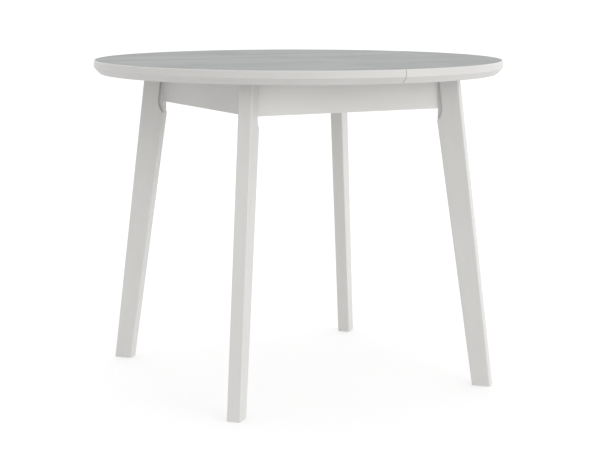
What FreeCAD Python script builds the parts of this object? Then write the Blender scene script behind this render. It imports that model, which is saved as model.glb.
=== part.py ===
"""Round extending dining table: four splayed legs, a square apron frame and a top in two halves.

Millimetres. Z is up, the origin is on the floor under the centre of the table, X is the pull-out
direction and the seam between the two halves of the top runs along Y.
"""
import FreeCAD
import Part
import Sketcher
import os
import re

Vector = FreeCAD.Vector
UP = Vector(0, 0, 1)
DOWN = Vector(0, 0, -1)

SIZES = {
    "table_height": 765,
    "top_diameter": 975,
    "top_thickness": 31,
    "laminate_thickness": 1,
    "laminate_inset": 3,
    "rim_bevel_height": 14.5,
    "rim_bevel_inset": 13.5,
    "rim_rounding": 2,
    "seam_gap": 1,
    "pull_out": 150,
    "running_gap": 1,
    "frame_width": 500,
    "apron_thickness": 20,
    "apron_height": 78,
    "apron_rounding": 1.5,
    "splay_angle": 7,
    "leg_width": 31,
    "foot_depth": 43.5,
    "knee_drop": 29,
    "knee_depth": 59,
    "knee_rounding": 14,
    "arris_rounding": 2.5,
    "tongue_thickness": 19,
    "shoulder_depth": 43.5,
    "shoulder_gap": 2.45,
    "housing_cutter": 38,
    "glide_diameter": 22,
    "glide_thickness": 5,
    "glide_standoff": 1,
    "glide_edge": 1,
    "strip_width": 12,
    "strip_thickness": 0.7,
    "block_depth": 40,
    "block_height": 60,
    "bolt_diameter": 8,
    "bolt_in_leg": 46,
    "bolt_spacing": 32,
    "bolt_overhang": 3,
    "washer_diameter": 24,
    "washer_thickness": 2,
    "nut_across_flats": 13,
    "nut_thickness": 6.5,
    "hole_clearance": 0.1,
    "drill_run_out": 1,
    "frame_screw_diameter": 4,
    "frame_screw_length": 30,
    "frame_screw_head": 8,
    "frame_screw_sink": 16,
    "block_screw_spacing": 28,
    "small_screw_diameter": 3.5,
    "small_screw_length": 16,
    "small_screw_head": 7,
    "rail_offset": 120,
    "rail_width": 24,
    "rail_height": 34,
    "groove_height": 12,
    "groove_depth": 6,
    "slide_clearance": 0.4,
    "runner_width": 18,
    "runner_height": 32,
    "runner_end_gap": 0.5,
    "runner_screw_inset": 20,
    "cross_rail_width": 40,
    "cross_rail_height": 25,
    "bracket_leg": 18,
    "bracket_width": 16,
    "bracket_thickness": 2,
    "dowel_diameter": 8,
    "dowel_in_board": 24,
    "dowel_reach": 12,
    "dowel_spacing": 300,
    "dowel_bevel": 1,
    "dowel_nose": 2,
    "socket_diameter": 11,
    "socket_length": 16,
    "socket_clearance": 0.2,
    "latch_offset": 330,
    "latch_reach": 60,
    "latch_plate_length": 48,
    "latch_plate_width": 24,
    "latch_plate_thickness": 2,
    "latch_screw_spacing": 34,
    "lever_width": 16,
    "lever_thickness": 2.5,
    "lever_pad": 28,
    "lever_gap": 0.5,
    "stud_diameter": 8,
    "stud_head": 12,
    "stud_head_height": 1.3,
    "pivot_diameter": 6,
    "pivot_head": 10,
}

LAYOUT = {
    "top_radius": "top_diameter / 2",
    "underside": "table_height - top_thickness",
    "apron_top": "underside - running_gap",
    "apron_bottom": "apron_top - apron_height",
    "frame_half": "frame_width / 2",
    "frame_inside": "frame_half - apron_thickness",
    "mitre_setback": "tongue_thickness / sqrt(2)",
    "block_face_middle": "frame_inside - mitre_setback - block_depth / sqrt(2)",
    "splay_slope": "tan(splay_angle * 1 deg)",
    "frame_corner": "frame_half * sqrt(2) - tongue_thickness / 2",
    "foot_reach": "frame_corner + shoulder_gap + shoulder_depth + apron_top * splay_slope",
    "knee_level": "apron_bottom - knee_drop",
    "knee_inner": "foot_reach - knee_level * splay_slope - knee_depth",
    "foot_inner": "foot_reach - foot_depth",
    "tongue_end": "frame_inside * sqrt(2) - tongue_thickness / 2",
    "block_back": "tongue_end - block_depth",
    "foot_centre": "foot_reach - foot_depth / 2",
    "frame_middle": "(apron_top + apron_bottom) / 2",
    "rail_bottom": "apron_top - rail_height",
    "groove_middle": "apron_top - rail_height / 2",
    "cross_rail_bottom": "rail_bottom - cross_rail_height",
    "runner_bottom": "underside - runner_height",
    "runner_length": "2 * frame_inside - pull_out - 2 * runner_end_gap",
    "runner_grip": "runner_length - frame_inside + runner_end_gap",
    "seam_half": "seam_gap / 2",
    "dowel_level": "underside + (top_thickness - laminate_thickness) / 2",
    "latch_half_reach": "latch_reach / 2",
    "lever_top": "underside - latch_plate_thickness - lever_gap",
}

CORNERS = {"front_right": -45, "back_right": 45, "back_left": 135, "front_left": 225}
SIDES = {"front": 0, "right": 90, "back": 180, "left": 270}

doc = FreeCAD.newDocument("RoundExtendingTable")
parts = []


def expression(text):
    """Write each bare size name in full, as the object that holds it and the name."""
    def full(match):
        word = match.group(0)
        if word in SIZES:
            return "Sizes." + word
        if word in LAYOUT:
            return "Layout." + word
        return word
    return re.sub(r"[a-z_]+", full, text)


def make_sheet():
    """The driving dimensions, one row each."""
    sheet = doc.addObject("Spreadsheet::Sheet", "Sizes")
    for row, (name, number) in enumerate(SIZES.items(), start=1):
        sheet.set(f"A{row}", name)
        sheet.set(f"B{row}", str(number))
        sheet.setAlias(f"B{row}", name)
    doc.recompute()
    return sheet


def make_layout():
    """The levels and distances that follow from the driving dimensions."""
    layout = doc.addObject("App::VarSet", "Layout")
    for name, text in LAYOUT.items():
        layout.addProperty("App::PropertyFloat", name, "Layout")
        layout.setExpression(name, expression(text))
        doc.recompute()
    return layout


def value(text):
    """The number that an expression of sizes comes to."""
    return float(sizes.evalExpression(expression(text)))


def bind(item, **properties):
    """Tie properties of a document object to expressions of sizes."""
    for name, text in properties.items():
        item.setExpression(name, expression(text))
    return item


def keep(item, label, placement=None):
    """Give a finished sub-part its label and its place, and list it for export."""
    item.Label = label
    if placement:
        item.Placement = placement
    parts.append(item)
    return item


def turned_about_z(degrees):
    return FreeCAD.Placement(Vector(), FreeCAD.Rotation(UP, degrees))


def moved_to(point):
    return FreeCAD.Placement(point, FreeCAD.Rotation())


def aimed(start, direction):
    """The place of a piece made along Z that starts at a point and runs in a direction."""
    return FreeCAD.Placement(start, FreeCAD.Rotation(UP, direction))


def add_sketch(body, plane, level="0"):
    """An empty sketch on one of the body's own origin planes, moved along the plane's normal."""
    sketch = body.newObject("Sketcher::SketchObject", body.Name + "Sketch")
    support = [item for item in body.Origin.OriginFeatures if item.Role == plane]
    sketch.AttachmentSupport = [(support[0], "")]
    sketch.MapMode = "FlatFace"
    sketch.setExpression("AttachmentOffset.Base.z", expression(f"({level}) * 1 mm"))
    return sketch


def hold_point(sketch, geometry, position, corner):
    """Fix a sketch point at two expressions of sizes, measured from the sketch's origin."""
    axes = (("DistanceX", corner[0], -2), ("DistanceY", corner[1], -1))
    for kind, text, axis in axes:
        number = value(text)
        if abs(number) < 1e-9:
            sketch.addConstraint(Sketcher.Constraint("PointOnObject", geometry, position, axis))
        else:
            index = sketch.addConstraint(
                Sketcher.Constraint(kind, -1, 1, geometry, position, number))
            sketch.renameConstraint(index, f"{kind}{geometry}")
            bind(sketch, **{f"Constraints.{kind}{geometry}": text})


def draw_outline(sketch, corners):
    """A closed outline of straight sides through corners given as pairs of expressions."""
    points = [Vector(value(x), value(y), 0) for x, y in corners]
    count = len(points)
    for index, point in enumerate(points):
        sketch.addGeometry(Part.LineSegment(point, points[(index + 1) % count]), False)
    for index in range(count):
        follower = (index + 1) % count
        sketch.addConstraint(Sketcher.Constraint("Coincident", index, 2, follower, 1))
    for index, corner in enumerate(corners):
        hold_point(sketch, index, 1, corner)


def draw_circles(sketch, radius, centres):
    """Circles of one radius round centres given as pairs of expressions."""
    for index, centre in enumerate(centres):
        middle = Vector(value(centre[0]), value(centre[1]), 0)
        sketch.addGeometry(Part.Circle(middle, UP, value(radius)), False)
        hold_point(sketch, index, 3, centre)
        number = sketch.addConstraint(Sketcher.Constraint("Radius", index, value(radius)))
        sketch.renameConstraint(number, f"Radius{index}")
        bind(sketch, **{f"Constraints.Radius{index}": radius})


def add_pad(body, sketch, length, symmetric=False):
    pad = body.newObject("PartDesign::Pad", body.Name + "Pad")
    pad.Profile = sketch
    bind(pad, Length=length)
    pad.SideType = "Symmetric" if symmetric else "One side"
    doc.recompute()
    return pad


def add_pocket(body, sketch, length=None, reverse=False):
    """Cut a sketch out of the body, right through when no length is given."""
    before = body.Shape.Volume
    pocket = body.newObject("PartDesign::Pocket", body.Name + "Pocket")
    pocket.Profile = sketch
    pocket.Reversed = reverse
    if length:
        bind(pocket, Length=length)
    else:
        pocket.Type = "ThroughAll"
    doc.recompute()
    if body.Shape.Volume >= before:
        raise RuntimeError(f"{pocket.Name} cuts nothing")
    return pocket


def add_fillet(body, radius, wanted):
    """Round the edges of the body for which wanted(edge) is true."""
    names = [f"Edge{number}" for number, edge in enumerate(body.Shape.Edges, start=1)
             if wanted(edge)]
    base = body.Tip
    fillet = body.newObject("PartDesign::Fillet", body.Name + "Fillet")
    fillet.Base = (base, names)
    bind(fillet, Radius=radius)
    doc.recompute()
    return fillet


def new_body(name):
    return doc.addObject("PartDesign::Body", name)


def extruded(name, plane, corners, length, level="0", symmetric=False):
    """A body that is one outline on an origin plane, made a solid."""
    body = new_body(name)
    sketch = add_sketch(body, plane, level)
    draw_outline(sketch, corners)
    add_pad(body, sketch, length, symmetric)
    return body


def lathe(name, corners):
    """A body turned about Z from a half outline of (radius, height) pairs."""
    body = new_body(name)
    sketch = add_sketch(body, "XZ_Plane")
    draw_outline(sketch, corners)
    revolution = body.newObject("PartDesign::Revolution", name + "Revolution")
    revolution.Profile = sketch
    revolution.ReferenceAxis = (sketch, ["V_Axis"])
    revolution.Angle = 360
    doc.recompute()
    return body


def box(name, length, width, height, corner):
    """A block of three sizes whose lowest corner is at a point given as expressions."""
    block = doc.addObject("Part::Box", name)
    bind(block, Length=length, Width=width, Height=height)
    for axis, text in zip("xyz", corner):
        block.setExpression(f"Placement.Base.{axis}", expression(f"({text}) * 1 mm"))
    return block


def repeated(name, master, places):
    """Copies of one piece at several places, as one object of separate solids."""
    group = doc.addObject("Part::Feature", name)
    copies = []
    for place in places:
        copy = master.Shape.copy()
        copy.Placement = place.multiply(master.Placement)
        copies.append(copy)
    group.Shape = Part.makeCompound(copies)
    return group


def copy_of(master, name):
    """A sub-part that follows the master's shape and has a place of its own."""
    item = doc.addObject("Part::Compound", name)
    item.Links = [master]
    doc.recompute()
    return item


def cut_from(name, base, tools):
    """The base with one tool after another taken out of it."""
    result = base
    for number, tool in enumerate(tools, start=1):
        cut = doc.addObject("Part::Cut", f"{name}Cut{number}")
        cut.Base = result
        cut.Tool = tool
        result = cut
    doc.recompute()
    return result


def screw_and_drill(name, kind, entry):
    """A countersunk screw with its head face at the origin, and the hole that it needs."""
    radius = f"{kind}_diameter / 2"
    head = f"{kind}_head / 2"
    cone = f"({kind}_head - {kind}_diameter) / 2"
    length = f"{kind}_length"
    screw = lathe(name, [("0", "0"), (head, "0"), (radius, cone),
                         (radius, f"{length} - {radius}"), ("0", length)])
    gap = "hole_clearance"
    drill = lathe(name + "Drill", [
        ("0", f"-{entry}"), (f"{head} + {gap}", f"-{entry}"), (f"{head} + {gap}", gap),
        (f"{radius} + {gap}", f"{cone} + {gap}"), (f"{radius} + {gap}", f"{length} + drill_run_out"),
        ("0", f"{length} + drill_run_out")])
    return screw, drill


def make_leg_blank():
    """A leg standing along X outwards, with its knee, rounded arrises and foot."""
    body = extruded("LegBlank", "XZ_Plane", [
        ("foot_reach - glide_standoff * splay_slope", "glide_standoff"),
        ("foot_reach - apron_top * splay_slope", "apron_top"),
        ("tongue_end", "apron_top"), ("tongue_end", "apron_bottom"),
        ("knee_inner", "apron_bottom"), ("knee_inner", "knee_level"),
        ("foot_inner", "glide_standoff")], "leg_width", symmetric=True)
    knee = value("knee_level")
    add_fillet(body, "knee_rounding",
               lambda edge: all(abs(end.Z - knee) < 0.01 for end in edge.Vertexes))
    side = value("leg_width") / 2
    tongue = value("tongue_end")

    def on_arris(edge):
        first, last = edge.Vertexes[0].Point, edge.Vertexes[-1].Point
        on_side = abs(abs(first.y) - side) < 0.01 and abs(first.y - last.y) < 0.01
        return on_side and abs(first.z - last.z) > 1 and max(first.x, last.x) > tongue + 1

    add_fillet(body, "arris_rounding", on_arris)
    return body


def make_leg():
    """The leg with a housing on each side for an apron's end, bolt holes and a glide recess."""
    body = make_leg_blank()
    shoulder = "foot_reach - {} * splay_slope - shoulder_depth"
    low, high = "apron_bottom", "apron_top + housing_cutter"
    inside = "tongue_end - housing_cutter"
    housing = [(shoulder.format(low), low), (shoulder.format(f"({high})"), high),
               (inside, high), (inside, low)]
    run_out = [(f"{shoulder.format(low)} - housing_cutter", low)]
    for sign, reverse in (("", True), ("-", False)):
        level = f"{sign}tongue_thickness / 2"
        upper = add_sketch(body, "XZ_Plane", level)
        draw_outline(upper, housing)
        add_pocket(body, upper, reverse=reverse)
        lower = add_sketch(body, "XZ_Plane", level)
        draw_circles(lower, "housing_cutter", run_out)
        add_pocket(body, lower, reverse=reverse)
    bolts = add_sketch(body, "YZ_Plane", "tongue_end")
    draw_circles(bolts, "bolt_diameter / 2 + hole_clearance",
                 [("0", "frame_middle - bolt_spacing / 2"), ("0", "frame_middle + bolt_spacing / 2")])
    add_pocket(body, bolts, "bolt_in_leg + drill_run_out", reverse=True)
    recess = add_sketch(body, "XY_Plane", "glide_standoff")
    draw_circles(recess, "glide_diameter / 2 + hole_clearance", [("foot_centre", "0")])
    add_pocket(body, recess, "glide_thickness - glide_standoff", reverse=True)
    return body


def make_corners():
    """Legs, corner blocks, their bolts and the floor glides, each made once and turned round."""
    leg = make_leg()
    glide = lathe("Glide", [
        ("0", "0"), ("glide_diameter / 2 - glide_edge", "0"), ("glide_diameter / 2", "glide_edge"),
        ("glide_diameter / 2", "glide_thickness"), ("0", "glide_thickness")])
    block = extruded("CornerBlock", "XY_Plane", [
        ("tongue_end", "-tongue_thickness / 2"), ("tongue_end", "tongue_thickness / 2"),
        ("block_back", "tongue_thickness / 2 + block_depth"),
        ("block_back", "-tongue_thickness / 2 - block_depth")], "block_height",
        level="frame_middle - block_height / 2")
    bolt_length = "bolt_in_leg + block_depth + washer_thickness + nut_thickness + bolt_overhang"
    bolt = lathe("LegBolt", [("0", "0"), ("bolt_diameter / 2", "0"),
                             ("bolt_diameter / 2", f"{bolt_length} - bolt_diameter / 2"),
                             ("0", bolt_length)])
    bolt_drill = lathe("LegBoltDrill", [
        ("0", "0"), ("bolt_diameter / 2 + hole_clearance", "0"),
        ("bolt_diameter / 2 + hole_clearance", bolt_length), ("0", bolt_length)])
    washer = lathe("LegBoltWasher", [
        ("bolt_diameter / 2 + hole_clearance", "0"), ("washer_diameter / 2", "0"),
        ("washer_diameter / 2", "washer_thickness"),
        ("bolt_diameter / 2 + hole_clearance", "washer_thickness")])
    hexagon = bind(doc.addObject("Part::Prism", "NutHexagon"), Height="nut_thickness",
                   Circumradius="nut_across_flats / sqrt(3)")
    nut_bore = bind(doc.addObject("Part::Cylinder", "NutBore"), Height="nut_thickness",
                    Radius="bolt_diameter / 2 + hole_clearance")
    nut = cut_from("LegBoltNut", hexagon, [nut_bore])

    washer_start = value("block_back - washer_thickness")
    nut_start = value("block_back - washer_thickness - nut_thickness")
    bolt_start = nut_start - value("bolt_overhang")
    levels = [value(f"frame_middle {sign} bolt_spacing / 2") for sign in "-+"]

    def along_corners(distance):
        outwards = [turned_about_z(angle) for angle in CORNERS.values()]
        return [corner.multiply(aimed(Vector(distance, 0, level), Vector(1, 0, 0)))
                for corner in outwards for level in levels]

    one_corner = [aimed(Vector(bolt_start, 0, level), Vector(1, 0, 0)) for level in levels]
    block_holes = [repeated("BlockBoltHoles", bolt_drill, one_corner),
                   repeated("BlockScrewHoles", frame_drill, block_screw_places_at_corner())]
    drilled_block = cut_from("CornerBlock", block, block_holes)
    for corner, angle in CORNERS.items():
        turn = turned_about_z(angle)
        keep(copy_of(leg, "Leg" + corner), "leg_" + corner, turn)
        keep(copy_of(drilled_block, "Block" + corner), "corner_block_" + corner, turn)
        foot = turn.multiply(moved_to(Vector(value("foot_centre"), 0, 0)))
        keep(copy_of(glide, "Glide" + corner), "floor_glide_" + corner, foot)
    keep(repeated("LegBolts", bolt, along_corners(bolt_start)), "leg_bolts")
    keep(repeated("LegBoltWashers", washer, along_corners(washer_start)), "leg_bolt_washers")
    keep(repeated("LegBoltNuts", nut, along_corners(nut_start)), "leg_bolt_nuts")


def block_screw_places():
    """Where the screws of the front apron's two corner blocks start, and their direction."""
    along = value("block_face_middle")
    places = []
    for x in (-along, along):
        for sign in "-+":
            level = value(f"frame_middle {sign} block_screw_spacing / 2")
            start = Vector(x, -value("frame_inside - frame_screw_sink"), level)
            places.append(aimed(start, Vector(0, -1, 0)))
    return places


def block_screw_places_at_corner():
    """The screws that go through one corner block, in the frame where its corner lies along X."""
    front = [place for place in block_screw_places() if place.Base.x > 0]
    right = [turned_about_z(90).multiply(place) for place in block_screw_places() if place.Base.x < 0]
    return [turned_about_z(45).multiply(place) for place in front + right]


def bracket_corners():
    """Where a bracket's inner corner sits: under the ends of both rails and of the cross rail."""
    inside = value("frame_inside")
    ends = []
    for y in (-value("rail_offset"), value("rail_offset")):
        ends.append((Vector(inside, y, value("rail_bottom")), 0))
        ends.append((Vector(-inside, y, value("rail_bottom")), 180))
    ends.append((Vector(0, -inside, value("cross_rail_bottom")), -90))
    ends.append((Vector(0, inside, value("cross_rail_bottom")), 90))
    return [FreeCAD.Placement(point, FreeCAD.Rotation(UP, angle)) for point, angle in ends]


def screw_places_in_bracket():
    """The two screws of one bracket: one up into the rail, one outwards into the apron."""
    middle, thick = value("(bracket_leg + bracket_thickness) / 2"), value("bracket_thickness")
    return [aimed(Vector(-middle, 0, -thick), UP), aimed(Vector(-thick, 0, -middle), Vector(1, 0, 0))]


def bracket_screw_places():
    """The screws of every bracket."""
    return [corner.multiply(place) for corner in bracket_corners()
            for place in screw_places_in_bracket()]


def cross_rail_screw_places():
    """A screw up through the cross rail into each slide rail."""
    level = value("rail_bottom - frame_screw_sink")
    return [aimed(Vector(0, y, level), UP) for y in (-value("rail_offset"), value("rail_offset"))]


def runner_screw_places(side):
    """Two screws up through each of a half's runners, where the runner is under its own half."""
    places = []
    level = value("underside - frame_screw_sink")
    for y in (side * outer_runner_middle(), -side * inner_runner_middle()):
        for reach in ("runner_screw_inset", "runner_grip - runner_screw_inset"):
            places.append(aimed(Vector(side * value(reach), y, level), UP))
    return places


def outer_runner_middle():
    return value("rail_offset + rail_width / 2 + slide_clearance + runner_width / 2")


def inner_runner_middle():
    return value("rail_offset - rail_width / 2 - slide_clearance - runner_width / 2")


def make_aprons():
    """Four boards with mitred ends, drilled for the block screws and the bracket screws."""
    outer = "frame_half - mitre_setback"
    inner = "frame_inside - mitre_setback"
    board = extruded("ApronBoard", "XY_Plane", [
        (f"-({outer})", "-frame_half"), (outer, "-frame_half"),
        (inner, "-frame_inside"), (f"-({inner})", "-frame_inside")], "apron_height",
        level="apron_bottom")
    low = value("apron_bottom")

    def lower_arris(edge):
        ends = [vertex.Point for vertex in edge.Vertexes]
        return all(abs(end.z - low) < 0.01 for end in ends) and abs(ends[0].y - ends[-1].y) < 0.01

    add_fillet(board, "apron_rounding", lower_arris)
    strip = box("GlideStrip", f"2 * ({inner})", "strip_width", "strip_thickness",
                (f"-({inner})", "-(frame_half + frame_inside + strip_width) / 2", "apron_top"))
    doc.recompute()
    block_holes = repeated("ApronBlockHoles", frame_drill, block_screw_places())
    for side, angle in SIDES.items():
        turn = turned_about_z(angle)
        back = turn.inverse()
        places = [back.multiply(place) for place in bracket_screw_places()]
        bracket_holes = repeated("Apron" + side + "BracketHoles", small_drill, places)
        drilled = cut_from("Apron" + side, board, [block_holes, bracket_holes])
        keep(drilled, "apron_" + side, turn)
        keep(copy_of(strip, "Strip" + side), "glide_strip_" + side, turn)
    screw_places = [turned_about_z(angle).multiply(place)
                    for angle in SIDES.values() for place in block_screw_places()]
    keep(repeated("CornerBlockScrews", frame_screw, screw_places), "corner_block_screws")


def make_rails():
    """Two grooved rails along the pull-out direction, the cross rail and their fixings."""
    half, top, bottom = "rail_width / 2", "apron_top", "rail_bottom"
    floor = "rail_width / 2 - groove_depth"
    low, high = "groove_middle - groove_height / 2", "groove_middle + groove_height / 2"
    right_side = [(half, bottom), (half, low), (floor, low), (floor, high), (half, high), (half, top)]
    left_side = [(f"-({y})", z) for y, z in reversed(right_side)]
    rail = extruded("SlideRail", "YZ_Plane", right_side + left_side, "2 * frame_inside", symmetric=True)
    for name, sign in (("front", -1), ("back", 1)):
        shift = moved_to(Vector(0, sign * value("rail_offset"), 0))
        back = shift.inverse()
        screws = [back.multiply(place) for place in bracket_screw_places()]
        middle = [back.multiply(place) for place in cross_rail_screw_places()]
        tools = [repeated(f"Rail{name}BracketHoles", small_drill, screws),
                 repeated(f"Rail{name}Hole", frame_drill, middle)]
        keep(cut_from("SlideRail" + name, rail, tools), "slide_rail_" + name, shift)
    cross = box("CrossRailBar", "cross_rail_width", "2 * frame_inside", "cross_rail_height",
                ("-cross_rail_width / 2", "-frame_inside", "cross_rail_bottom"))
    tools = [repeated("CrossRailScrewHoles", frame_drill, cross_rail_screw_places()),
             repeated("CrossRailBracketHoles", small_drill, bracket_screw_places())]
    keep(cut_from("CrossRail", cross, tools), "cross_rail")
    keep(repeated("CrossRailScrews", frame_screw, cross_rail_screw_places()), "cross_rail_screws")
    make_brackets()


def make_brackets():
    """Steel angles in the inner corner between a rail's underside and an apron."""
    bent = extruded("BracketAngle", "XZ_Plane", [
        ("0", "0"), ("-bracket_leg", "0"), ("-bracket_leg", "-bracket_thickness"),
        ("-bracket_thickness", "-bracket_thickness"), ("-bracket_thickness", "-bracket_leg"),
        ("0", "-bracket_leg")], "bracket_width", symmetric=True)
    holes = repeated("BracketHoles", small_drill, screw_places_in_bracket())
    bracket = cut_from("Bracket", bent, [holes])
    keep(repeated("RailBrackets", bracket, bracket_corners()), "rail_brackets")
    keep(repeated("RailBracketScrews", small_screw, bracket_screw_places()), "rail_bracket_screws")


def make_runner(name, tongue_sign):
    """A runner of the right half: it carries that half near the seam and reaches to the left apron.

    Its tongue points to +Y or -Y. Past the seam its top is lowered to clear the other half.
    """
    start, end = "-frame_inside + runner_end_gap", "runner_grip"
    bar = extruded(name, "XZ_Plane", [
        (start, "runner_bottom"), (end, "runner_bottom"), (end, "underside"),
        ("seam_half", "underside"), ("seam_half", "apron_top"), (start, "apron_top")],
        "runner_width", symmetric=True)
    reach = "groove_depth - slide_clearance"
    tongue = add_sketch(bar, "YZ_Plane", start)
    root, tip = "runner_width / 4", f"runner_width / 2 + {reach}"
    low = "groove_middle - groove_height / 2 + slide_clearance"
    high = "groove_middle + groove_height / 2 - slide_clearance"
    sign = "-" if tongue_sign < 0 else ""
    draw_outline(tongue, [(f"{sign}({root})", low), (f"{sign}({tip})", low),
                          (f"{sign}({tip})", high), (f"{sign}({root})", high)])
    add_pad(bar, tongue, "runner_length")
    return bar


def make_runners():
    """Each half has a runner outside one rail and inside the other, so the halves pass each other."""
    outer = make_runner("OuterRunner", -1)
    inner = make_runner("InnerRunner", -1)
    lanes = {"back": (outer, outer_runner_middle()), "front": (inner, -inner_runner_middle())}
    for half, side in (("right", 1), ("left", -1)):
        screws = runner_screw_places(side)
        turn = turned_about_z(0 if side > 0 else 180)
        for lane, (bar, middle) in lanes.items():
            place = turn.multiply(moved_to(Vector(0, middle, 0)))
            back = place.inverse()
            holes = repeated(f"{half}{lane}RunnerHoles", frame_drill,
                             [back.multiply(screw) for screw in screws])
            runner = cut_from(f"{half}{lane}Runner", bar, [holes])
            position = lane if side > 0 else {"front": "back", "back": "front"}[lane]
            keep(runner, f"{half}_runner_{position}", place)
        keep(repeated(half + "RunnerScrews", frame_screw, screws), half + "_runner_screws")


def make_top():
    """Two half boards with a laminate each, the seam pins and the sockets that take them."""
    rim, bevel = "top_radius", "underside + rim_bevel_height"
    recess, seat = "top_radius - laminate_inset", "table_height - laminate_thickness"
    disc = lathe("TopDisc", [
        ("0", "underside"), ("top_radius - rim_bevel_inset", "underside"), (rim, bevel),
        (rim, "table_height"), (recess, "table_height"), (recess, seat), ("0", seat)])
    radius, height = value("top_radius"), value("table_height")
    add_fillet(disc, "rim_rounding", lambda edge: abs(edge.BoundBox.ZMin - height) < 0.01
               and abs(edge.BoundBox.ZMax - height) < 0.01 and edge.BoundBox.XMax > radius - 0.01)
    sheet = bind(doc.addObject("Part::Cylinder", "LaminateDisc"), Radius=recess,
                 Height="laminate_thickness")
    sheet.setExpression("Placement.Base.z", expression(f"({seat}) * 1 mm"))
    drills = {}
    for half, diameter, depth in (("left", "dowel_diameter", "dowel_in_board"),
                                  ("right", "socket_diameter", "seam_half + socket_length")):
        bore, start, end = f"{diameter} / 2 + hole_clearance", "-drill_run_out", f"{depth} + drill_run_out"
        drills[half] = lathe(half + "EdgeDrill", [("0", start), (bore, start), (bore, end), ("0", end)])
    for half, side in (("left", -1), ("right", 1)):
        across = "-top_diameter" if side > 0 else "-seam_half"
        other_half = box(half + "Rest", "top_diameter + seam_half", "2 * top_diameter",
                         "2 * table_height", (across, "-top_diameter", "0"))
        doc.recompute()
        edge = [aimed(place.Base, Vector(side, 0, 0)) for place in dowel_places()]
        tools = [other_half,
                 repeated(half + "EdgeHoles", drills[half], edge),
                 repeated(half + "RunnerPilots", frame_drill, runner_screw_places(side)),
                 repeated(half + "LatchPilots", small_drill, latch_screw_places(side))]
        keep(cut_from(half + "Board", disc, tools), f"top_{half}_board")
        keep(cut_from(half + "Sheet", sheet, [other_half]), f"top_{half}_laminate")
    make_dowels()


def dowel_places():
    """Three pins along the seam, pointing to the right half."""
    level, spacing = value("dowel_level"), value("dowel_spacing")
    return [aimed(Vector(0, count * spacing, level), Vector(1, 0, 0)) for count in (-1, 0, 1)]


def make_dowels():
    radius, tip = "dowel_diameter / 2", "seam_half + dowel_reach"
    pin = lathe("SeamDowel", [
        ("0", "-dowel_in_board"), (f"{radius} - dowel_bevel", "-dowel_in_board"),
        (radius, "dowel_bevel - dowel_in_board"), (radius, f"{tip} - dowel_nose"),
        (f"{radius} - dowel_nose", tip), ("0", tip)])
    keep(repeated("SeamDowels", pin, dowel_places()), "seam_dowels")
    bore = "dowel_diameter / 2 + socket_clearance"
    sleeve = lathe("DowelSocket", [
        (bore, "seam_half"), ("socket_diameter / 2", "seam_half"),
        ("socket_diameter / 2", "seam_half + socket_length"), (bore, "seam_half + socket_length")])
    keep(repeated("DowelSockets", sleeve, dowel_places()), "dowel_sockets")


def latch_places(side):
    """The middle of each latch plate on one half, level with the underside of the top."""
    reach, offset = side * value("latch_half_reach"), value("latch_offset")
    return [Vector(reach, y, value("underside")) for y in (-offset, offset)]


def latch_screw_places(side):
    """Two screws up through each latch plate, on the line parallel to the seam."""
    step = Vector(0, value("latch_screw_spacing") / 2, -value("latch_plate_thickness"))
    mirror_step = Vector(0, -step.y, step.z)
    return [aimed(middle + move, UP) for middle in latch_places(side) for move in (step, mirror_step)]


def make_latches():
    """Two turning levers on the left half that hook round studs on the right half."""
    plate = box("LatchPlate", "latch_plate_width", "latch_plate_length", "latch_plate_thickness",
                ("-latch_plate_width / 2", "-latch_plate_length / 2", "-latch_plate_thickness"))
    doc.recompute()
    for half, side, label in (("left", -1, "latch_plates"), ("right", 1, "latch_keeper_plates")):
        blank = repeated(half + "PlateBlanks", plate, [moved_to(centre) for centre in latch_places(side)])
        holes = repeated(half + "PlateHoles", small_drill, latch_screw_places(side))
        keep(cut_from(half + "Plates", blank, [holes]), label)
        screws = repeated(half + "PlateScrews", small_screw, latch_screw_places(side))
        keep(screws, "latch_plate_screws" if side < 0 else "latch_keeper_screws")
    stem = "latch_plate_thickness + 2 * lever_gap + lever_thickness"
    pins = (("LatchPivot", "pivot_diameter", "pivot_head", -1, "latch_pivots"),
            ("LatchStud", "stud_diameter", "stud_head", 1, "latch_studs"))
    for name, diameter, head, side, label in pins:
        radius, foot = f"{diameter} / 2", "latch_plate_thickness"
        pin = lathe(name, [
            ("0", foot), (radius, foot), (radius, stem), (f"{head} / 2", stem),
            (f"{head} / 2", f"{stem} + stud_head_height"), ("0", f"{stem} + stud_head_height")])
        keep(repeated(name + "s", pin, [aimed(centre, DOWN) for centre in latch_places(side)]), label)
    make_levers()


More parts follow.
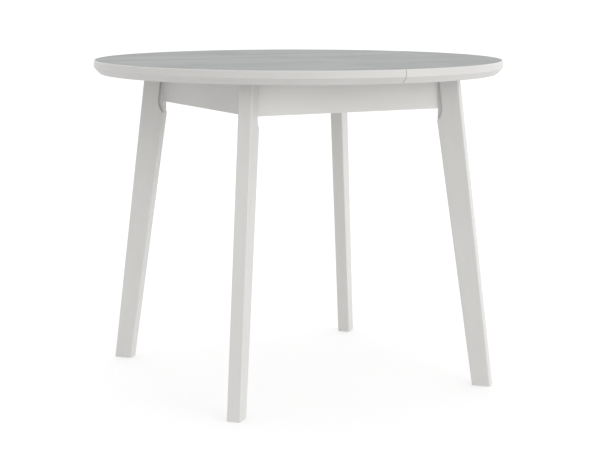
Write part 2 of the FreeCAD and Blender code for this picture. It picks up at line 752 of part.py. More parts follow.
def make_levers():
    """A flat lever along X from its pivot, with an arc-shaped slot that opens towards +Y."""
    gap = "slide_clearance"
    arm = box("LeverArm", "latch_reach", "lever_width", "lever_thickness",
              ("0", "-lever_width / 2", "-lever_thickness"))
    eye = bind(doc.addObject("Part::Cylinder", "LeverEye"), Radius="lever_width / 2",
               Height="lever_thickness")
    pad = bind(doc.addObject("Part::Cylinder", "LeverPad"), Radius="lever_pad / 2",
               Height="lever_thickness")
    for item, reach in ((eye, "0"), (pad, "latch_reach")):
        item.setExpression("Placement.Base.z", expression("-lever_thickness * 1 mm"))
        item.setExpression("Placement.Base.x", expression(f"({reach}) * 1 mm"))
    blank = doc.addObject("Part::MultiFuse", "LeverBlank")
    blank.Shapes = [arm, eye, pad]
    bore = bind(doc.addObject("Part::Cylinder", "LeverBore"), Height="2 * lever_thickness",
                Radius="pivot_diameter / 2 + hole_clearance")
    seat = bind(doc.addObject("Part::Cylinder", "LeverSeat"), Height="2 * lever_thickness",
                Radius=f"stud_diameter / 2 + {gap}")
    seat.setExpression("Placement.Base.x", expression("latch_reach * 1 mm"))
    rings = []
    for name, sign in (("LeverSlotOuter", "+"), ("LeverSlotInner", "-")):
        ring = bind(doc.addObject("Part::Cylinder", name), Height="2 * lever_thickness",
                    Radius=f"latch_reach {sign} (stud_diameter / 2 + {gap})")
        rings.append(ring)
        ring.Angle = 90
    for item in [bore, seat] + rings:
        item.setExpression("Placement.Base.z", expression("-1.5 * lever_thickness * 1 mm"))
    slot = cut_from("LeverSlot", rings[0], [rings[1]])
    lever = cut_from("Lever", blank, [bore, seat, slot])
    level = Vector(0, 0, value("lever_top"))
    front, back = [Vector(point.x, point.y, 0) + level for point in latch_places(-1)]
    turned_over = FreeCAD.Rotation(Vector(1, 0, 0), 180)
    drop = Vector(0, 0, -value("lever_thickness"))
    keep(copy_of(lever, "FrontLever"), "latch_lever_front",
         FreeCAD.Placement(front, FreeCAD.Rotation(UP, -90)))
    keep(copy_of(lever, "BackLever"), "latch_lever_back",
         FreeCAD.Placement(back + drop, FreeCAD.Rotation(UP, 90).multiply(turned_over)))


def check_and_export():
    """Stop on any failed object or bad shape, then write one file for each sub-part."""
    doc.recompute()
    for item in doc.Objects:
        if "Invalid" in item.State or "Error" in item.State:
            raise RuntimeError(f"{item.Name} failed: {item.State}")
    os.makedirs("parts", exist_ok=True)
    for item in parts:
        if item.Shape.isNull() or not item.Shape.isValid() or not item.Shape.Solids:
            raise RuntimeError(f"{item.Label} has no valid shape")
    for item in parts:
        item.Shape.exportStep(f"parts/{item.Label}.step")
        print(f"{item.Label}: {len(item.Shape.Solids)} solid(s), {item.Shape.Volume / 1000:.1f} cm3")


sizes = make_sheet()
make_layout()
frame_screw, frame_drill = screw_and_drill("FrameScrew", "frame_screw", "2 * frame_screw_sink")
small_screw, small_drill = screw_and_drill("SmallScrew", "small_screw", "hole_clearance")
make_corners()
make_aprons()
make_rails()
make_runners()
make_top()
make_latches()
check_and_export()
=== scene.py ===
"""Round extending dining table: finishes, hardware detail, studio and camera."""

import math

import bmesh
import bpy
from mathutils import Matrix, Vector


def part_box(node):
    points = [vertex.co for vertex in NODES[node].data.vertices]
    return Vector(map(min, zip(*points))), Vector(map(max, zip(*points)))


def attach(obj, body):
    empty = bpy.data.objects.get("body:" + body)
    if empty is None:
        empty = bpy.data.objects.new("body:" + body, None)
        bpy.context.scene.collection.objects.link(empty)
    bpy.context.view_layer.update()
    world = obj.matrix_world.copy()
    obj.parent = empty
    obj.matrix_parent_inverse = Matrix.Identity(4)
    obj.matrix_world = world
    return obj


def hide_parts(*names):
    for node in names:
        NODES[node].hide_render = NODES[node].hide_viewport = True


bl_info = {
    "name": "Round Extending Table",
    "version": (1, 0, 0),
    "blender": (4, 5, 0),
    "location": "View3D > Sidebar > Table",
    "description": "Finishes and details a round extending table and sets it in a studio",
    "category": "Object",
}

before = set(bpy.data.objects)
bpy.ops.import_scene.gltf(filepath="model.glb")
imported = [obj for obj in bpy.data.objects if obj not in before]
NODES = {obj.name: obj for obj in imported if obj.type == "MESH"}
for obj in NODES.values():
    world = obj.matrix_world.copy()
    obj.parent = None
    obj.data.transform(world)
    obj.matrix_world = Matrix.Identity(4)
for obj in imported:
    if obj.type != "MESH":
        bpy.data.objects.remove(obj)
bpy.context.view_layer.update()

CORNER_ANGLES = {"front_right": -45, "back_right": 45, "back_left": 135, "front_left": 225}
LEG_LEAN = math.radians(7)

# Turns that bring a straight piece's own length to Z, for its grain.
ALONG_X = (0, math.pi / 2, 0)
ALONG_Y = (math.pi / 2, 0, 0)
UPRIGHT = (0, 0, 0)

# Shares of the paint's colour that these pieces take: painted light on the long aprons and painted shade
# on the two half boards, standing in for how the light falls on them.
LONG_APRON_PAINTED_LIGHT = 1.07
LEFT_BOARD_PAINTED_SHADE = 0.92
RIGHT_BOARD_PAINTED_SHADE = 0.95

SAME_POINT = 1e-5
END_BAND = 0.0006
ROUND_SEGMENTS = 24
GLIDE_SEGMENTS = 48
SHARP_ANGLE = math.radians(38)
POINT_SHARE = 0.04

FLOOR_RADIUS = 150
FLOOR_LEVEL = -0.0002
FILL_ANGLE = math.radians(50)
FILL_DIRECTION = (-0.26, 0.97, -0.10)
CAMERA_SHIFT = (0.05, -0.075)
SENSOR_WIDTH = 36


# Settings that a user would change.

class FinishSettings(bpy.types.PropertyGroup):
    """Colours and surface character of the table's materials."""
    paint: bpy.props.FloatVectorProperty(
        name="Paint", description="Colour of the painted wood", subtype="COLOR",
        default=(0.53, 0.523, 0.51), min=0, max=1)
    laminate: bpy.props.FloatVectorProperty(
        name="Laminate", description="Colour of the top sheet", subtype="COLOR",
        default=(0.235, 0.244, 0.241), min=0, max=1)
    beech: bpy.props.FloatVectorProperty(
        name="Beech", description="Colour of the bare beech", subtype="COLOR",
        default=(0.50, 0.355, 0.235), min=0, max=1)
    zinc: bpy.props.FloatVectorProperty(
        name="Zinc", description="Colour of the plated steel", subtype="COLOR",
        default=(0.58, 0.59, 0.61), min=0, max=1)
    nylon: bpy.props.FloatVectorProperty(
        name="Nylon", description="Colour of the nylon glides, tape and sockets", subtype="COLOR",
        default=(0.60, 0.585, 0.53), min=0, max=1)
    pore_depth: bpy.props.FloatProperty(
        name="Pore depth", description="How far the wood's pores show through the paint",
        default=0.00025, min=0, unit="LENGTH")


class HardwareSettings(bpy.types.PropertyGroup):
    """Sizes of the details on screws, bolts, pins and glides."""
    thread_pitch: bpy.props.FloatProperty(
        name="Thread pitch", description="Distance between two turns of a wood screw's thread",
        default=0.0016, min=0.0002, unit="LENGTH")
    bolt_pitch: bpy.props.FloatProperty(
        name="Bolt pitch", description="Distance between two turns of a bolt's thread",
        default=0.00125, min=0.0002, unit="LENGTH")
    recess_width: bpy.props.FloatProperty(
        name="Recess width", description="Width of the cross recess, as a share of the head",
        default=0.56, min=0.1, max=0.9, subtype="FACTOR")
    recess_depth: bpy.props.FloatProperty(
        name="Recess depth", description="Depth of the cross recess in a screw head",
        default=0.0013, min=0, unit="LENGTH")
    flute_count: bpy.props.IntProperty(
        name="Flutes", description="Number of flutes round a seam pin", default=12, min=3)
    flute_depth: bpy.props.FloatProperty(
        name="Flute depth", description="Depth of the flutes in a seam pin",
        default=0.0003, min=0, unit="LENGTH")
    glide_rounding: bpy.props.FloatProperty(
        name="Glide rounding", description="Radius round the lower edge of a floor glide",
        default=0.0009, min=0, unit="LENGTH")


class StudioSettings(bpy.types.PropertyGroup):
    """Camera place and light levels."""
    distance: bpy.props.FloatProperty(
        name="Distance", description="Camera distance from the table's centre line",
        default=3.734, min=0.5, unit="LENGTH")
    height: bpy.props.FloatProperty(
        name="Height", description="Camera height above the floor", default=0.959, unit="LENGTH")
    bearing: bpy.props.FloatProperty(
        name="Bearing", description="Direction of the camera from the table, from the front",
        default=math.radians(28.21), unit="ROTATION")
    heading: bpy.props.FloatProperty(
        name="Heading", description="Direction that the camera looks in, from straight back",
        default=math.radians(27.18), unit="ROTATION")
    tilt: bpy.props.FloatProperty(
        name="Tilt", description="How far the camera looks down", default=math.radians(7.44),
        unit="ROTATION")
    lens: bpy.props.FloatProperty(name="Lens", description="Focal length in millimetres", default=93.2)
    room_level: bpy.props.FloatProperty(
        name="Room level", description="Mean brightness of the pale room round the table",
        default=1.137)
    room_slope: bpy.props.FloatVectorProperty(
        name="Room slope", description="How the room's brightness grows along X, Y and Z",
        default=(0.22, 0.28, 0.28))
    fill_level: bpy.props.FloatProperty(
        name="Fill level", description="Strength of the soft light from the front", default=1.9)
    floor_glow: bpy.props.FloatProperty(
        name="Floor glow", description="Light that the lit floor itself gives", default=0.60)


# Node helpers for the procedural finishes.

class Finish:
    """One material being built: a node tree with a Principled surface."""

    def __init__(self, name):
        self.material = bpy.data.materials.new(name)
        self.material.use_nodes = True
        self.tree = self.material.node_tree
        self.surface = self.tree.nodes["Principled BSDF"]
        self.coordinates = self.node("ShaderNodeTexCoord").outputs["Object"]

    def node(self, kind, **sockets):
        made = self.tree.nodes.new(kind)
        for name, value in sockets.items():
            self.feed(made.inputs[name.replace("_", " ")], value)
        return made

    def feed(self, socket, value):
        if isinstance(value, bpy.types.NodeSocket):
            self.tree.links.new(value, socket)
        else:
            socket.default_value = value

    def mapped(self, scale, turn=(0, 0, 0)):
        """Object coordinates turned to a piece's own direction, then stretched."""
        turned = self.node("ShaderNodeMapping", Vector=self.coordinates, Rotation=turn)
        return self.node("ShaderNodeMapping", Vector=turned.outputs[0], Scale=scale).outputs[0]

    def noise(self, vector, scale, detail=3.0, roughness=0.5, distortion=0.0):
        made = self.node("ShaderNodeTexNoise", Vector=vector, Scale=scale, Detail=detail,
                         Roughness=roughness, Distortion=distortion)
        return made.outputs["Fac"]

    def spread(self, value, low, high, to_low=0.0, to_high=1.0):
        """A value's range from low to high made to run from to_low to to_high."""
        made = self.node("ShaderNodeMapRange", Value=value, From_Min=low, From_Max=high,
                         To_Min=to_low, To_Max=to_high)
        return made.outputs[0]

    def colour_mix(self, kind, factor, first, second):
        made = self.node("ShaderNodeMix")
        made.data_type = "RGBA"
        made.blend_type = kind
        for socket, value in ((made.inputs[0], factor), (made.inputs[6], first), (made.inputs[7], second)):
            self.feed(socket, value)
        return made.outputs[2]

    def blend(self, factor, first, second):
        return self.colour_mix("MIX", factor, first, second)

    def shade(self, colour, amount):
        """A colour multiplied by a value."""
        return self.colour_mix("MULTIPLY", 1.0, colour, amount)

    def height_above_floor(self):
        return self.node("ShaderNodeSeparateXYZ", Vector=self.coordinates).outputs["Z"]

    def bump(self, height, distance, strength=1.0, below=None):
        made = self.node("ShaderNodeBump", Height=height, Distance=distance, Strength=strength)
        if below is not None:
            self.feed(made.inputs["Normal"], below)
        return made.outputs[0]

    def set(self, **sockets):
        for name, value in sockets.items():
            self.feed(self.surface.inputs[name.replace("_", " ")], value)
        return self.material


def opaque(colour, share=1.0):
    return (*(part * share for part in colour), 1)


def wear(node_names, material):
    """Give one finish to CAD nodes by name."""
    for name in node_names:
        slots = NODES[name].data.materials
        slots.clear()
        slots.append(material)


def painted_wood(name, settings, turn, share=1.0):
    """White satin paint over open-pored wood; the grain runs along the piece's own Z.

    The share lightens or darkens one piece's paint against the rest: a share above one is painted light
    and a share below one is painted shade, standing in for how the light falls on that piece.
    """
    finish = Finish(name)
    cloud = finish.noise(finish.coordinates, 5, 2)
    grain = finish.noise(finish.mapped((1, 1, 0.06), turn), 60, 4, 0.6)
    pores = finish.noise(finish.mapped((1, 1, 0.02), turn), 420, 2, 0.5)
    tone = finish.blend(finish.spread(cloud, 0.35, 0.65), opaque(settings.paint, share),
                        opaque(settings.paint, share * 0.965))
    colour = finish.shade(tone, finish.spread(grain, 0.3, 0.7, 0.975, 1.0))
    scuff = finish.noise(finish.mapped((1, 1, 0.4), turn), 150, 3, 0.7)
    low = finish.spread(finish.height_above_floor(), 0.004, 0.05, 0.0, 1.0)
    worn = finish.blend(low, finish.spread(scuff, 0.55, 0.75, 1.0, 0.86), opaque((1, 1, 1)))
    colour = finish.shade(colour, worn)
    normal = finish.bump(finish.spread(pores, 0.30, 0.42), settings.pore_depth, 0.35)
    normal = finish.bump(grain, settings.pore_depth * 2, 0.3, normal)
    gloss = finish.spread(cloud, 0.3, 0.7, 0.36, 0.46)
    return finish.set(Base_Color=colour, Roughness=gloss, Normal=normal)


def grey_laminate(settings):
    """Matt grey sheet with soft clouds and faint streaks along the pull-out direction."""
    finish = Finish("grey laminate")
    clouds = finish.noise(finish.mapped((0.6, 1.4, 1)), 6, 5, 0.55, 0.6)
    streaks = finish.noise(finish.mapped((0.5, 5, 1)), 14, 4, 0.6)
    speck = finish.noise(finish.coordinates, 700, 2)
    pattern = finish.blend(0.45, clouds, streaks)
    colour = finish.blend(finish.spread(pattern, 0.37, 0.63), opaque(settings.laminate, 0.865),
                          opaque(settings.laminate, 1.125))
    grit = finish.spread(speck, 0.3, 0.7, 0.985, 1.0)
    normal = finish.bump(speck, 0.0001, 0.4)
    gloss = finish.spread(streaks, 0.3, 0.7, 0.50, 0.64)
    return finish.set(Base_Color=finish.shade(colour, grit), Roughness=gloss, Normal=normal,
                      Specular_IOR_Level=0.1)


def bare_beech(name, settings, turn):
    """Planed beech: soft growth bands, short dark flecks and fine pores along the piece's own Z."""
    finish = Finish(name)
    bands = finish.noise(finish.mapped((1, 1, 0.03), turn), 34, 3, 0.5, 0.8)
    flecks = finish.noise(finish.mapped((1, 1, 0.16), turn), 620, 1, 0.4)
    fibres = finish.noise(finish.mapped((1, 1, 0.012), turn), 900, 3, 0.6)
    colour = finish.blend(finish.spread(bands, 0.3, 0.7), opaque(settings.beech, 0.86),
                          opaque(settings.beech, 1.12))
    colour = finish.shade(colour, finish.spread(flecks, 0.60, 0.70, 1.0, 0.72))
    colour = finish.shade(colour, finish.spread(fibres, 0.3, 0.7, 0.93, 1.03))
    normal = finish.bump(fibres, 0.0002, 0.4)
    normal = finish.bump(flecks, 0.0001, 0.3, normal)
    gloss = finish.spread(bands, 0.3, 0.7, 0.50, 0.62)
    return finish.set(Base_Color=colour, Roughness=gloss, Normal=normal)


def zinc_plate(settings):
    """Bright zinc plating with a faint cool and warm cast, drawn lines and rubbed spots."""
    finish = Finish("zinc plate")
    cast = finish.noise(finish.coordinates, 45, 3, 0.6)
    drawn = finish.noise(finish.mapped((1, 1, 0.05)), 1600, 2)
    spots = finish.noise(finish.coordinates, 260, 3, 0.7)
    warm = (settings.zinc[0], settings.zinc[1] * 0.99, settings.zinc[2] * 0.90)
    colour = finish.blend(finish.spread(cast, 0.35, 0.65), opaque(settings.zinc), opaque(warm))
    colour = finish.shade(colour, finish.spread(spots, 0.55, 0.75, 1.0, 0.84))
    gloss = finish.spread(spots, 0.3, 0.75, 0.28, 0.46)
    normal = finish.bump(drawn, 0.00004, 0.35)
    return finish.set(Base_Color=colour, Metallic=1.0, Roughness=gloss, Normal=normal)


def moulded_nylon(settings):
    """Slightly see-through natural nylon with a fine moulded grain and grey rubbed patches."""
    finish = Finish("moulded nylon")
    cloud = finish.noise(finish.coordinates, 90, 3, 0.6)
    grain = finish.noise(finish.coordinates, 1500, 2)
    colour = finish.blend(finish.spread(cloud, 0.45, 0.70), opaque(settings.nylon),
                          opaque(settings.nylon, 0.82))
    return finish.set(Base_Color=colour, Roughness=finish.spread(cloud, 0.3, 0.7, 0.38, 0.52),
                      Normal=finish.bump(grain, 0.00005, 0.4), Subsurface_Weight=0.08,
                      Subsurface_Scale=0.002)


# Pieces of hardware, each made along Z from its head and placed on every solid of its CAD node.

def solids_of(node_name):
    """The separate solids of a CAD node, as lists of points, in the order of the node's mesh."""
    build = bmesh.new()
    build.from_mesh(NODES[node_name].data)
    bmesh.ops.remove_doubles(build, verts=build.verts, dist=SAME_POINT)
    seen = set()
    solids = []
    for first in build.verts:
        if first in seen:
            continue
        seen.add(first)
        reached = [first]
        for vertex in reached:
            for edge in vertex.link_edges:
                other = edge.other_vert(vertex)
                if other not in seen:
                    seen.add(other)
                    reached.append(other)
        solids.append([vertex.co.copy() for vertex in reached])
    build.free()
    return solids


def end_width(points, axis):
    """The width of a solid at the end where it starts along an axis."""
    start = min(point.dot(axis) for point in points)
    rim = [point for point in points if point.dot(axis) < start + END_BAND]
    return max((point - rim[0]).length for point in rim)


def axis_place(points):
    """A turned solid's radius, length and place: Z runs from its wide end to its narrow end."""
    middle = sum(points, Vector()) / len(points)
    reach = max(points, key=lambda point: (point - middle).length)
    far = max(points, key=lambda point: (point - reach).length)
    level_lines = [Vector((math.cos(turn), math.sin(turn), 0))
                   for turn in (math.pi / 4 * step for step in range(4))]
    axis = max(level_lines + [Vector((0, 0, 1))], key=lambda line: abs(line.dot(far - reach)))
    if end_width(points, axis) < end_width(points, -axis):
        axis = -axis
    turn = axis.to_track_quat("Z", "Y").to_matrix()
    upright = [turn.transposed() @ point for point in points]
    low = Vector([min(point[side] for point in upright) for side in range(3)])
    high = Vector([max(point[side] for point in upright) for side in range(3)])
    start = turn @ Vector(((low.x + high.x) / 2, (low.y + high.y) / 2, low.z))
    radius = max(high.x - low.x, high.y - low.y) / 2
    return radius, high.z - low.z, Matrix.Translation(start) @ turn.to_4x4()


def in_order(items):
    """Each item once, in the order in which it first comes, so that every run gives the same mesh."""
    return list(dict.fromkeys(items))


def ring_of(build, radius, level, segments):
    made = bmesh.ops.create_circle(build, segments=segments, radius=radius,
                                   matrix=Matrix.Translation((0, 0, level)))
    return in_order(edge for vertex in made["verts"] for edge in vertex.link_edges)


def drawn_on(build, loop, share, step):
    """Extrude an edge loop along Z and scale it about the axis; gives the new loop."""
    made = bmesh.ops.extrude_edge_only(build, edges=loop)["geom"]
    points = [item for item in made if isinstance(item, bmesh.types.BMVert)]
    bmesh.ops.translate(build, verts=points, vec=(0, 0, step))
    bmesh.ops.scale(build, verts=points, vec=(share, share, 1))
    return [item for item in made if isinstance(item, bmesh.types.BMEdge)
            and all(vertex in points for vertex in item.verts)]


def threaded(build, loop, radius, depth, pitch, length):
    """Thread ridges along a shank: the loop goes in and out once for each turn."""
    turns = max(1, int(length / pitch))
    inner = (radius - depth) / radius
    for _ in range(turns):
        loop = drawn_on(build, loop, inner, length / turns / 2)
        loop = drawn_on(build, loop, 1 / inner, length / turns / 2)
    return loop


def close_point(build, loop, length):
    """Close a loop in a point further along Z."""
    loop = drawn_on(build, loop, POINT_SHARE, length)
    bmesh.ops.edgeloop_fill(build, edges=loop)


def cross_recess(build, width, depth):
    """The sunk cross in a head's face; gives its rim, which is left open for the head."""
    cell = width / 3
    made = bmesh.ops.create_grid(build, x_segments=3, y_segments=3, size=width / 2)
    faces = in_order(face for vertex in made["verts"] for face in vertex.link_faces)
    corners = [face for face in faces
               if min(abs(part) for part in face.calc_center_median().xy) > cell / 2]
    bmesh.ops.delete(build, geom=corners, context="FACES")
    cross = list(build.faces)
    sunk = bmesh.ops.extrude_face_region(build, geom=cross, use_keep_orig=False)["geom"]
    low = [item for item in sunk if isinstance(item, bmesh.types.BMVert)]
    bmesh.ops.delete(build, geom=cross, context="FACES")
    bmesh.ops.translate(build, verts=low, vec=(0, 0, depth))
    bmesh.ops.scale(build, verts=low, vec=(0.62, 0.62, 1))
    return [edge for edge in build.edges if edge.is_boundary]


def wood_screw(hardware, head_radius, length):
    """A countersunk screw with a cross recess and a thread, its head face at the origin."""
    build = bmesh.new()
    shank = head_radius / 2
    head_edge = head_radius * 0.06
    cone = head_radius * 0.5
    rim = cross_recess(build, 2 * head_radius * hardware.recess_width, hardware.recess_depth)
    loop = ring_of(build, head_radius, 0, ROUND_SEGMENTS)
    bmesh.ops.bridge_loops(build, edges=rim + loop)
    loop = drawn_on(build, loop, 0.995, head_edge)
    loop = drawn_on(build, loop, shank / head_radius, cone)
    loop = threaded(build, loop, shank, shank * 0.2, hardware.thread_pitch,
                    length - head_edge - cone - shank)
    close_point(build, loop, shank * 0.98)
    return build


def hanger_bolt(hardware, radius, length):
    """A headless bolt with a machine thread all along and a blunt point."""
    build = bmesh.new()
    chamfer = radius * 0.14
    loop = ring_of(build, radius - chamfer, 0, ROUND_SEGMENTS)
    bmesh.ops.edgeloop_fill(build, edges=loop)
    loop = drawn_on(build, loop, radius / (radius - chamfer), chamfer)
    loop = threaded(build, loop, radius, radius * 0.1, hardware.bolt_pitch, length - chamfer - radius)
    close_point(build, loop, radius)
    return build


def fluted_pin(hardware, radius, length):
    """A beech pin with flutes along it, bevelled at its root and tapered at its nose."""
    build = bmesh.new()
    bevel, nose = 0.001, 0.002
    segments = hardware.flute_count * 4
    loop = ring_of(build, radius - bevel, 0, segments)
    bmesh.ops.edgeloop_fill(build, edges=loop)
    loop = drawn_on(build, loop, radius / (radius - bevel), bevel)
    loop = drawn_on(build, loop, 1, length - bevel - nose)
    loop = drawn_on(build, loop, (radius - nose) / radius, nose)
    bmesh.ops.edgeloop_fill(build, edges=loop)
    around = [vertex for vertex in build.verts if bevel / 2 < vertex.co.z < length - nose / 2]
    grooves = [vertex for vertex in around
               if round(math.atan2(vertex.co.y, vertex.co.x) / math.tau * segments) % 4 == 0]
    share = 1 - hardware.flute_depth / radius
    bmesh.ops.scale(build, verts=grooves, vec=(share, share, 1))
    return build


def floor_glide(hardware, radius, length):
    """A nylon disc, rounded round its lower edge, with the dimple of its nail in the middle."""
    build = bmesh.new()
    dimple_depth = 0.0006
    dimple_bottom = radius * 0.12
    dimple_rim = dimple_bottom * 2.2
    loop = ring_of(build, dimple_bottom, dimple_depth, GLIDE_SEGMENTS)
    bmesh.ops.edgeloop_fill(build, edges=loop)
    loop = drawn_on(build, loop, dimple_rim / dimple_bottom, -dimple_depth)
    lower = drawn_on(build, loop, radius / dimple_rim, 0)
    loop = drawn_on(build, lower, 1, length)
    bmesh.ops.edgeloop_fill(build, edges=loop)
    bmesh.ops.bevel(build, geom=lower, offset=hardware.glide_rounding, affect="EDGES", segments=4,
                    profile=0.5, material=-1)
    return build


def put_in_place(build, piece_name, node_name, material, body):
    """A finished piece as an object that rides its body and replaces its CAD node."""
    mesh = bpy.data.meshes.new(piece_name)
    build.to_mesh(mesh)
    build.free()
    for polygon in mesh.polygons:
        polygon.use_smooth = True
    mesh.set_sharp_from_angle(angle=SHARP_ANGLE)
    mesh.materials.append(material)
    piece = bpy.data.objects.new(piece_name, mesh)
    bpy.context.scene.collection.objects.link(piece)
    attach(piece, body)
    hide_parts(node_name)


def place_copies(piece_name, node_name, maker, material, body):
    """One detailed piece for each solid of a CAD node, joined in one object that replaces it."""
    hardware = bpy.context.scene.table_hardware
    places = [axis_place(points) for points in solids_of(node_name)]
    if not places:
        raise RuntimeError(f"{node_name} has no solids")
    whole = bmesh.new()
    for radius, length, place in places:
        single = maker(hardware, radius, length)
        bmesh.ops.recalc_face_normals(single, faces=single.faces)
        bmesh.ops.transform(single, matrix=place, verts=single.verts)
        part = bpy.data.meshes.new("part")
        single.to_mesh(part)
        single.free()
        whole.from_mesh(part)
        bpy.data.meshes.remove(part)
    put_in_place(whole, piece_name, node_name, material, body)


def place_glide(piece_name, node_name, material):
    """A floor glide under one leg, as wide and as high as its CAD node."""
    hardware = bpy.context.scene.table_hardware
    low, high = (Vector(corner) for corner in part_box(node_name))
    build = floor_glide(hardware, (high.x - low.x) / 2, high.z - low.z)
    bmesh.ops.recalc_face_normals(build, faces=build.faces)
    middle = (low + high) / 2
    bmesh.ops.translate(build, verts=build.verts, vec=(middle.x, middle.y, low.z))
    put_in_place(build, piece_name, node_name, material, "frame")


class TABLE_OT_legs(bpy.types.Operator):
    """Paint the four legs, each with its grain along its own length"""
    bl_idname = "table.legs"
    bl_label = "Paint the legs"

    def execute(self, context):
        finishes = context.scene.table_finishes
        for corner, angle in CORNER_ANGLES.items():
            upright = Matrix.Rotation(LEG_LEAN, 3, "Y") @ Matrix.Rotation(-math.radians(angle), 3, "Z")
            paint = painted_wood("white paint leg " + corner, finishes, upright.to_euler("XYZ"))
            wear(["leg_" + corner], paint)
        return {"FINISHED"}


class TABLE_OT_aprons(bpy.types.Operator):
    """Paint the aprons, with the grain running from leg to leg, and lay the nylon tape"""
    bl_idname = "table.aprons"
    bl_label = "Paint the aprons"

    def execute(self, context):
        finishes = context.scene.table_finishes
        # The long aprons' paint carries painted light.
        wear(["apron_front", "apron_back"],
             painted_wood("white paint apron long with painted light", finishes, ALONG_X, LONG_APRON_PAINTED_LIGHT))
        wear(["apron_left", "apron_right"],
             painted_wood("white paint apron cross", finishes, ALONG_Y))
        wear(["glide_strip_" + side for side in ("front", "back", "left", "right")],
             moulded_nylon(finishes))
        return {"FINISHED"}


class TABLE_OT_top(bpy.types.Operator):
    """Paint the two half boards and lay the laminate"""
    bl_idname = "table.top"
    bl_label = "Finish the top"

    def execute(self, context):
        finishes = context.scene.table_finishes
        # The half boards' paint carries painted shade, darker on the left half than on the right.
        wear(["top_left_board"],
             painted_wood("white paint left half with painted shade", finishes, ALONG_X, LEFT_BOARD_PAINTED_SHADE))
        wear(["top_right_board"],
             painted_wood("white paint right half with painted shade", finishes, ALONG_X, RIGHT_BOARD_PAINTED_SHADE))
        wear(["top_left_laminate", "top_right_laminate"], grey_laminate(finishes))
        return {"FINISHED"}


class TABLE_OT_slides(bpy.types.Operator):
    """Give the rails, runners, cross rail and corner blocks their bare beech"""
    bl_idname = "table.slides"
    bl_label = "Finish the slides and blocks"

    def execute(self, context):
        finishes = context.scene.table_finishes
        runners = [f"{half}_runner_{side}" for half in ("left", "right") for side in ("front", "back")]
        wear(["slide_rail_front", "slide_rail_back"] + runners,
             bare_beech("beech along the slide", finishes, ALONG_X))
        wear(["cross_rail"], bare_beech("beech across the slide", finishes, ALONG_Y))
        wear(["corner_block_" + corner for corner in CORNER_ANGLES],
             bare_beech("beech block", finishes, UPRIGHT))
        return {"FINISHED"}


class TABLE_OT_screws(bpy.types.Operator):
    """Replace the plain screws and bolts with cross-recessed screws and threaded bolts"""
    bl_idname = "table.screws"
    bl_label = "Make the screws and bolts"

    def execute(self, context):
        zinc = zinc_plate(context.scene.table_finishes)
        screws = {"corner_block_screws": "frame", "cross_rail_screws": "frame",
                  "rail_bracket_screws": "frame", "left_runner_screws": "left_top",
                  "latch_plate_screws": "left_top", "right_runner_screws": "right_top",
                  "latch_keeper_screws": "right_top"}
        for node_name, body in screws.items():
            place_copies("cross_" + node_name, node_name, wood_screw, zinc, body)
        place_copies("threaded_leg_bolts", "leg_bolts", hanger_bolt, zinc, "frame")
        wear(["leg_bolt_washers", "leg_bolt_nuts", "rail_brackets", "latch_plates",
              "latch_keeper_plates", "latch_pivots", "latch_studs", "latch_lever_front",
              "latch_lever_back"], zinc)
        return {"FINISHED"}


class TABLE_OT_pins(bpy.types.Operator):
    """Make the fluted seam pins and give their sockets moulded nylon"""
    bl_idname = "table.pins"
    bl_label = "Make the seam pins"

    def execute(self, context):
        finishes = context.scene.table_finishes
        beech = bare_beech("beech pin", finishes, ALONG_X)
        place_copies("fluted_seam_pins", "seam_dowels", fluted_pin, beech, "left_top")
        wear(["dowel_sockets"], moulded_nylon(finishes))
        return {"FINISHED"}


class TABLE_OT_glides(bpy.types.Operator):
    """Make the rounded floor glides"""
    bl_idname = "table.glides"
    bl_label = "Make the floor glides"

    def execute(self, context):
        nylon = moulded_nylon(context.scene.table_finishes)
        for corner in CORNER_ANGLES:
            place_glide("rounded_glide_" + corner, "floor_glide_" + corner, nylon)
        return {"FINISHED"}


class TABLE_OT_stage(bpy.types.Operator):
    """Set the floor, the soft lights and the camera"""
    bl_idname = "table.stage"
    bl_label = "Set the stage"

    def execute(self, context):
        studio = context.scene.table_studio
        make_floor(studio)
        make_room(context, studio)
        make_front_fill(context, studio)
        make_camera(context, studio)
        return {"FINISHED"}


def make_floor(studio):
    """A wide glowing floor just under the glides, see-through from below so the table shows."""
    mesh = bpy.data.meshes.new("floor")
    build = bmesh.new()
    bmesh.ops.create_circle(build, cap_ends=True, segments=96, radius=FLOOR_RADIUS,
                            matrix=Matrix.Translation((0, 0, FLOOR_LEVEL)))
    build.to_mesh(mesh)
    build.free()
    floor = bpy.data.objects.new("floor", mesh)
    bpy.context.scene.collection.objects.link(floor)
    finish = Finish("lit white floor")
    tone = finish.noise(finish.coordinates, 2)
    colour = finish.blend(finish.spread(tone, 0.3, 0.7), opaque((0.30, 0.30, 0.30)),
                          opaque((0.31, 0.31, 0.31)))
    upper_side = finish.spread(finish.node("ShaderNodeNewGeometry").outputs["Backfacing"], 0, 1, 1, 0)
    mesh.materials.append(finish.set(
        Base_Color=colour, Roughness=0.9, Emission_Color=opaque((1, 1, 1)),
        Emission_Strength=studio.floor_glow, Alpha=upper_side))


def make_room(context, studio):
    """A pale room, brighter towards the right, the back and the ceiling."""
    world = bpy.data.worlds.new("room")
    world.use_nodes = True
    tree = world.node_tree
    background = tree.nodes["Background"]
    direction = tree.nodes.new("ShaderNodeTexCoord").outputs["Generated"]
    slope = tree.nodes.new("ShaderNodeVectorMath")
    slope.operation = "DOT_PRODUCT"
    slope.inputs[1].default_value = studio.room_slope
    tree.links.new(direction, slope.inputs[0])
    level = tree.nodes.new("ShaderNodeMath")
    level.inputs[1].default_value = studio.room_level
    tree.links.new(slope.outputs["Value"], level.inputs[0])
    tree.links.new(level.outputs[0], background.inputs["Strength"])
    background.inputs["Color"].default_value = (1, 1, 1, 1)
    context.scene.world = world
    context.scene.view_settings.view_transform = "Standard"


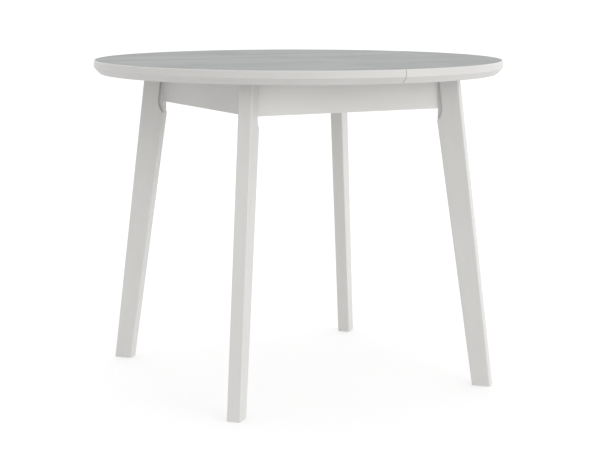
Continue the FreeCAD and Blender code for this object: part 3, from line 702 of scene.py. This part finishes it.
def make_front_fill(context, studio):
    """A wide soft light from just above the horizon in front, a little to the right."""
    lamp = bpy.data.lights.new("front fill", "SUN")
    lamp.energy = studio.fill_level
    lamp.angle = FILL_ANGLE
    holder = bpy.data.objects.new("front fill", lamp)
    holder.rotation_euler = Vector(FILL_DIRECTION).to_track_quat("-Z", "Y").to_euler()
    context.scene.collection.objects.link(holder)


def make_camera(context, studio):
    camera = bpy.data.cameras.new("camera")
    camera.sensor_width = SENSOR_WIDTH
    camera.lens = studio.lens
    camera.shift_x, camera.shift_y = CAMERA_SHIFT
    holder = bpy.data.objects.new("camera", camera)
    side, back = math.sin(studio.bearing), math.cos(studio.bearing)
    holder.location = (-side * studio.distance, -back * studio.distance, studio.height)
    holder.rotation_euler = (math.pi / 2 - studio.tilt, 0, -studio.heading)
    context.scene.collection.objects.link(holder)
    context.scene.camera = holder


OPERATORS = (TABLE_OT_legs, TABLE_OT_aprons, TABLE_OT_top, TABLE_OT_slides, TABLE_OT_screws,
             TABLE_OT_pins, TABLE_OT_glides, TABLE_OT_stage)
SETTINGS = {"table_finishes": FinishSettings, "table_hardware": HardwareSettings,
            "table_studio": StudioSettings}


class TABLE_PT_table(bpy.types.Panel):
    """Lists the steps that finish the table, and their settings"""
    bl_label = "Round Extending Table"
    bl_idname = "TABLE_PT_table"
    bl_space_type = "VIEW_3D"
    bl_region_type = "UI"
    bl_category = "Table"

    def draw(self, context):
        for operator in OPERATORS:
            self.layout.operator(operator.bl_idname)
        for holder in SETTINGS:
            settings = getattr(context.scene, holder)
            box = self.layout.box()
            for name in settings.__annotations__:
                box.prop(settings, name)


CLASSES = (*SETTINGS.values(), *OPERATORS, TABLE_PT_table)


def register():
    for item in CLASSES:
        bpy.utils.register_class(item)
    for holder, group in SETTINGS.items():
        setattr(bpy.types.Scene, holder, bpy.props.PointerProperty(type=group))


def unregister():
    for holder in SETTINGS:
        delattr(bpy.types.Scene, holder)
    for item in reversed(CLASSES):
        bpy.utils.unregister_class(item)


def main():
    register()
    bpy.ops.table.legs()
    bpy.ops.table.aprons()
    bpy.ops.table.top()
    bpy.ops.table.slides()
    bpy.ops.table.screws()
    bpy.ops.table.pins()
    bpy.ops.table.glides()
    bpy.ops.table.stage()


if __name__ == "__main__":
    main()
